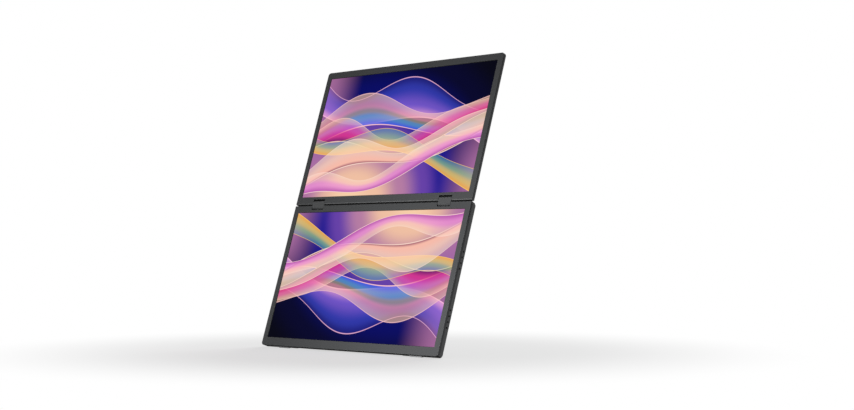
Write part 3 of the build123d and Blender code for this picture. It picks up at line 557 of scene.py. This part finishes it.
pictureSky = {
    "glowAt": (-0.20, -0.06), "flatten": 1.5,
    "glow": [(0.0, (0.98, 0.70, 0.42)), (0.18, (0.86, 0.52, 0.36)), (0.32, (0.46, 0.20, 0.36)),
             (0.45, (0.13, 0.05, 0.38)), (0.55, (0.014, 0.009, 0.27)), (0.67, (0.0, 0.001, 0.12)),
             (0.84, (0.0, 0.0, 0.022)), (1.0, (0.0, 0.0, 0.004))],
    "mist": (0.42, 0.16, 0.36),
    "leftMist": (-0.28, -0.52),                 # thickens to the left
    "leftMistShare": 0.85,
    "rightMist": ((0.30, 0.56), (0.40, 0.08)),  # thickens to the right and downwards
}

ribbons = [
    {"height": 0.315, "slope": -0.24, "swing": 0.060, "waves": 5.2, "phase": 0.4, "width": 0.150,
     "pinch": 0.55, "veil": 0.80, "rim": (0.95, 0.50, 0.72),
     "colours": [(0.0, (0.80, 0.36, 0.72)), (0.35, (0.22, 0.12, 0.72)), (0.75, (0.06, 0.08, 0.70)),
                 (1.0, (0.03, 0.03, 0.35))]},
    {"height": 0.27, "slope": 0.10, "swing": 0.070, "waves": 4.6, "phase": 2.6, "width": 0.120,
     "pinch": 0.65, "veil": 0.86, "rim": (1.0, 0.58, 0.60),
     "colours": [(0.0, (0.05, 0.10, 0.78)), (0.30, (0.10, 0.30, 0.55)), (0.46, (0.34, 0.30, 0.14)),
                 (0.62, (0.85, 0.34, 0.28)), (1.0, (0.98, 0.62, 0.42))]},
    {"height": 0.235, "slope": 0.10, "swing": 0.060, "waves": 6.4, "phase": 4.2, "width": 0.085,
     "pinch": 0.60, "veil": 0.94, "rim": (1.0, 0.66, 0.55),
     "colours": [(0.0, (0.16, 0.01, 0.14)), (0.30, (0.72, 0.03, 0.26)), (0.62, (0.85, 0.10, 0.42)),
                 (1.0, (0.98, 0.55, 0.50))]},
    {"height": 0.150, "slope": -0.22, "swing": 0.050, "waves": 5.6, "phase": 1.2, "width": 0.080,
     "pinch": 0.50, "veil": 0.78, "rim": (1.0, 0.62, 0.12),
     "colours": [(0.0, (0.95, 0.45, 0.04)), (0.34, (0.80, 0.62, 0.12)), (0.64, (0.30, 0.62, 0.26)),
                 (1.0, (0.10, 0.42, 0.50))]},
    {"height": 0.150, "slope": 0.22, "swing": 0.045, "waves": 6.0, "phase": 3.3, "width": 0.095,
     "pinch": 0.62, "veil": 0.96, "rim": (1.0, 0.74, 0.62),
     "colours": [(0.0, (0.28, 0.05, 0.12)), (0.16, (0.96, 0.52, 0.40)), (0.62, (1.0, 0.70, 0.52)),
                 (1.0, (1.0, 0.80, 0.66))]},
    {"height": 0.085, "slope": 0.22, "swing": 0.042, "waves": 6.8, "phase": 5.1, "width": 0.070,
     "pinch": 0.55, "veil": 0.95, "rim": (1.0, 0.70, 0.66),
     "colours": [(0.0, (0.50, 0.10, 0.44)), (0.40, (0.84, 0.28, 0.66)), (0.74, (0.98, 0.58, 0.56)),
                 (1.0, (1.0, 0.76, 0.62))]},
]

# Each ribbon widens and narrows along its length, fades from its low edge to its high one, and has a light
# rim on both. A rim is two ranges of the share of the width, where it rises and where it falls
ribbonLook = {"twistWaves": 1.7, "twistPhase": 1.1, "edge": 0.012, "fadeTo": 0.45,
              "lowRim": ((-0.010, 0.004), (0.040, 0.016)), "highRim": ((0.972, 0.988), (1.006, 0.996)),
              "highRimShare": 0.8}

glassFinish = {"border": 0.0022, "unlit": (0.0, 0.0, 0.0), "base": (0.001, 0.001, 0.002), "brightness": 1.0,
               "ior": 1.05, "etch": 900, "etchRange": (0.3, 0.7), "roughness": (0.20, 0.26)}


def drawRibbon(tree, across, up, below, ribbon):
    wave = calc(tree, "SINE", calc(tree, "MULTIPLY_ADD", across, ribbon["waves"], ribbon["phase"]))
    start = calc(tree, "MULTIPLY_ADD", across, ribbon["slope"], ribbon["height"])
    start = calc(tree, "MULTIPLY_ADD", wave, ribbon["swing"], start)
    twistWaves = ribbon["waves"] * ribbonLook["twistWaves"]
    twistPhase = ribbon["phase"] + ribbonLook["twistPhase"]
    twist = calc(tree, "SINE", calc(tree, "MULTIPLY_ADD", across, twistWaves, twistPhase))
    width = calc(tree, "MULTIPLY_ADD", twist, ribbon["width"] * ribbon["pinch"] / 2, ribbon["width"])
    share = calc(tree, "DIVIDE", calc(tree, "SUBTRACT", up, start), width)
    inside = band(tree, share, (0.0, ribbonLook["edge"]), (1.0, 1.0 - ribbonLook["edge"]))
    fade = ease(tree, share, 0.0, 1.0, 1.0, ribbonLook["fadeTo"])
    picture = blendColours(tree, times(tree, inside, fade, ribbon["veil"]), below,
                           ramp(tree, share, ribbon["colours"]))
    lowRim = band(tree, share, *ribbonLook["lowRim"])
    highRim = times(tree, band(tree, share, *ribbonLook["highRim"]), ribbonLook["highRimShare"])
    return blendColours(tree, calc(tree, "MAXIMUM", lowRim, highRim), picture, ribbon["rim"])


def drawSky(tree, across, up):
    left = calc(tree, "SUBTRACT", across, pictureSky["glowAt"][0])
    high = calc(tree, "SUBTRACT", up, pictureSky["glowAt"][1])
    distance = calc(tree, "SQRT", calc(tree, "ADD", times(tree, left, left),
                                       times(tree, high, high, pictureSky["flatten"])))
    picture = ramp(tree, distance, pictureSky["glow"])
    leftMist = times(tree, ease(tree, across, *pictureSky["leftMist"]), pictureSky["leftMistShare"])
    acrossRange, upRange = pictureSky["rightMist"]
    rightMist = times(tree, ease(tree, across, *acrossRange), ease(tree, up, *upRange))
    for mist in (leftMist, rightMist):
        picture = blendColours(tree, mist, picture, pictureSky["mist"])
    return picture


def screenGlass(name, flip):  # flip 1, or -1 for the lower screen, which shows the same picture upside down
    material, tree, shader = freshMaterial(name)
    spot = objectSpot(tree)
    size = screenPlane["pictureWidth"]
    across = times(tree, along(tree, spot, acrossDir), flip / size)
    up = times(tree, riseAt(tree, spot), flip / size)
    up = calc(tree, "SUBTRACT", up, screenPlane["pictureNear"] / size)
    picture = drawSky(tree, across, up)
    for ribbon in ribbons:
        picture = drawRibbon(tree, across, up, picture, ribbon)

    # Unlit border round the picture, inside the window of the frame
    half, height, border = 0.5, screenPlane["pictureHeight"] / size, glassFinish["border"]
    litAcross = ease(tree, calc(tree, "ABSOLUTE", across), half - border / 2, half - border)
    litUp = band(tree, up, (border / 2, border), (height - border / 2, height - border))
    picture = blendColours(tree, times(tree, litAcross, litUp), glassFinish["unlit"], picture)
    tree.links.new(picture, shader.inputs["Emission Color"])
    shader.inputs["Emission Strength"].default_value = glassFinish["brightness"]
    material.cycles.emission_sampling = "NONE"  # the lamps get the samples
    shader.inputs["Base Color"].default_value = (*glassFinish["base"], 1)
    shader.inputs["IOR"].default_value = glassFinish["ior"]
    etch = noise(tree, glassFinish["etch"], 1.0)
    tree.links.new(ease(tree, etch, *glassFinish["etchRange"], *glassFinish["roughness"]),
                   shader.inputs["Roughness"])
    return material


dress(screenGlass("upperScreen", 1), "upper_lcd_panel")
dress(screenGlass("lowerScreen", -1), "lower_lcd_panel")
print("screens are lit")


# Studio: pale floor, white surroundings, soft lamps

studio = {
    "floorSize": 12.0,
    "floorColour": (0.86, 0.86, 0.86),
    "floorWhite": 0.62,      # share of plain white that the camera sees on the floor round the object
    "whiteFrom": 0.22,       # from here outwards the floor turns plain white
    "whiteAt": 0.62,
    "ambient": 0.22,
    "lamps": [  # "aim" is a place on the screens' plane, "spread" an angle in degrees
        {"name": "keyLamp", "at": (0.29, -0.64, 0.12), "size": 0.24, "power": 4.0,
         "aim": (0.12, -0.15), "spread": 110, "lightsFloor": False},
        {"name": "fillLamp", "at": (-1.8, -1.2, 1.8), "size": 1.8, "power": 3,
         "aim": (0, 0), "spread": 180, "lightsFloor": True},
        {"name": "backLamp", "at": (-0.7, 2.2, 2.0), "size": 1.8, "power": 46,
         "aim": (0, 0), "spread": 180, "lightsFloor": True},
    ],
}


def seesBackground(tree):  # camera, mirror and glass rays
    path = tree.nodes.new("ShaderNodeLightPath")
    rays = calc(tree, "MAXIMUM", path.outputs["Is Camera Ray"], path.outputs["Is Glossy Ray"])
    return calc(tree, "MAXIMUM", rays, path.outputs["Is Transmission Ray"])


def mixShaders(tree, amount, below, above, output):
    mix = tree.nodes.new("ShaderNodeMixShader")
    tree.links.new(amount, mix.inputs[0])
    tree.links.new(below.outputs[0], mix.inputs[1])
    tree.links.new(above.outputs[0], mix.inputs[2])
    tree.links.new(mix.outputs[0], tree.nodes.new(output).inputs["Surface"])


def makeFloor():
    size = studio["floorSize"]
    mesh = bpy.data.meshes.new("floor")
    corners = [(-size, -size, 0), (size, -size, 0), (size, size, 0), (-size, size, 0)]
    mesh.from_pydata(corners, [], [(0, 1, 2, 3)])
    floor = bpy.data.objects.new("floor", mesh)
    bpy.context.scene.collection.objects.link(floor)
    material = bpy.data.materials.new("paleFloor")
    material.use_nodes = True
    tree = material.node_tree
    tree.nodes.clear()
    paint = tree.nodes.new("ShaderNodeBsdfDiffuse")
    paint.inputs["Color"].default_value = (*studio["floorColour"], 1)
    white = tree.nodes.new("ShaderNodeEmission")
    reach = tree.nodes.new("ShaderNodeVectorMath")
    reach.operation = "LENGTH"
    tree.links.new(objectSpot(tree), reach.inputs[0])
    plain = ease(tree, reach.outputs["Value"], studio["whiteFrom"], studio["whiteAt"],
                 studio["floorWhite"], 1.0)
    mixShaders(tree, times(tree, seesBackground(tree), plain), paint, white, "ShaderNodeOutputMaterial")
    mesh.materials.append(material)
    return floor


def makeSurroundings():
    world = bpy.data.worlds.new("softSky")
    bpy.context.scene.world = world
    world.use_nodes = True
    tree = world.node_tree
    tree.nodes.clear()
    dim = tree.nodes.new("ShaderNodeBackground")
    white = tree.nodes.new("ShaderNodeBackground")
    for light in (dim, white):
        light.inputs["Color"].default_value = (1, 1, 1, 1)
    dim.inputs["Strength"].default_value = studio["ambient"]
    mixShaders(tree, seesBackground(tree), dim, white, "ShaderNodeOutputWorld")


def hangLamp(settings, floor):
    lamp = bpy.data.lights.new(settings["name"], "AREA")
    lamp.size = settings["size"]
    lamp.energy = settings["power"]
    lamp.spread = math.radians(settings["spread"])
    holder = bpy.data.objects.new(settings["name"], lamp)
    holder.location = settings["at"]
    holder.visible_camera = False
    holder.rotation_euler = (onPlane(*settings["aim"]) - holder.location).to_track_quat("-Z", "Y").to_euler()
    bpy.context.scene.collection.objects.link(holder)
    if not settings["lightsFloor"]:  # a low lamp's hot spot on the floor makes the frames grainy
        flagged = bpy.data.collections.new("flaggedOff")
        flagged.objects.link(floor)
        flagged.collection_objects[0].light_linking.link_state = "EXCLUDE"
        holder.light_linking.receiver_collection = flagged


studioFloor = makeFloor()
makeSurroundings()
for lampSettings in studio["lamps"]:
    hangLamp(lampSettings, studioFloor)
bpy.context.scene.view_settings.view_transform = "Standard"
print("studio is set")


# Camera, low on the right and level with the lower screen, turned in degrees. Its focal length was solved in
# pixels of a photograph 854 wide

cameraSettings = {"at": (1.585, -1.5072, 0.1431), "turn": (91.67, 0.0, 44.68), "sensor": 36,
                  "focalPixels": 1532, "widePixels": 854}
camera = bpy.data.objects.new("camera", bpy.data.cameras.new("camera"))
camera.data.sensor_width = cameraSettings["sensor"]
camera.data.lens = cameraSettings["focalPixels"] / cameraSettings["widePixels"] * cameraSettings["sensor"]
camera.location = cameraSettings["at"]
camera.rotation_euler = [math.radians(angle) for angle in cameraSettings["turn"]]
bpy.context.scene.collection.objects.link(camera)
bpy.context.scene.camera = camera
print("camera is set")
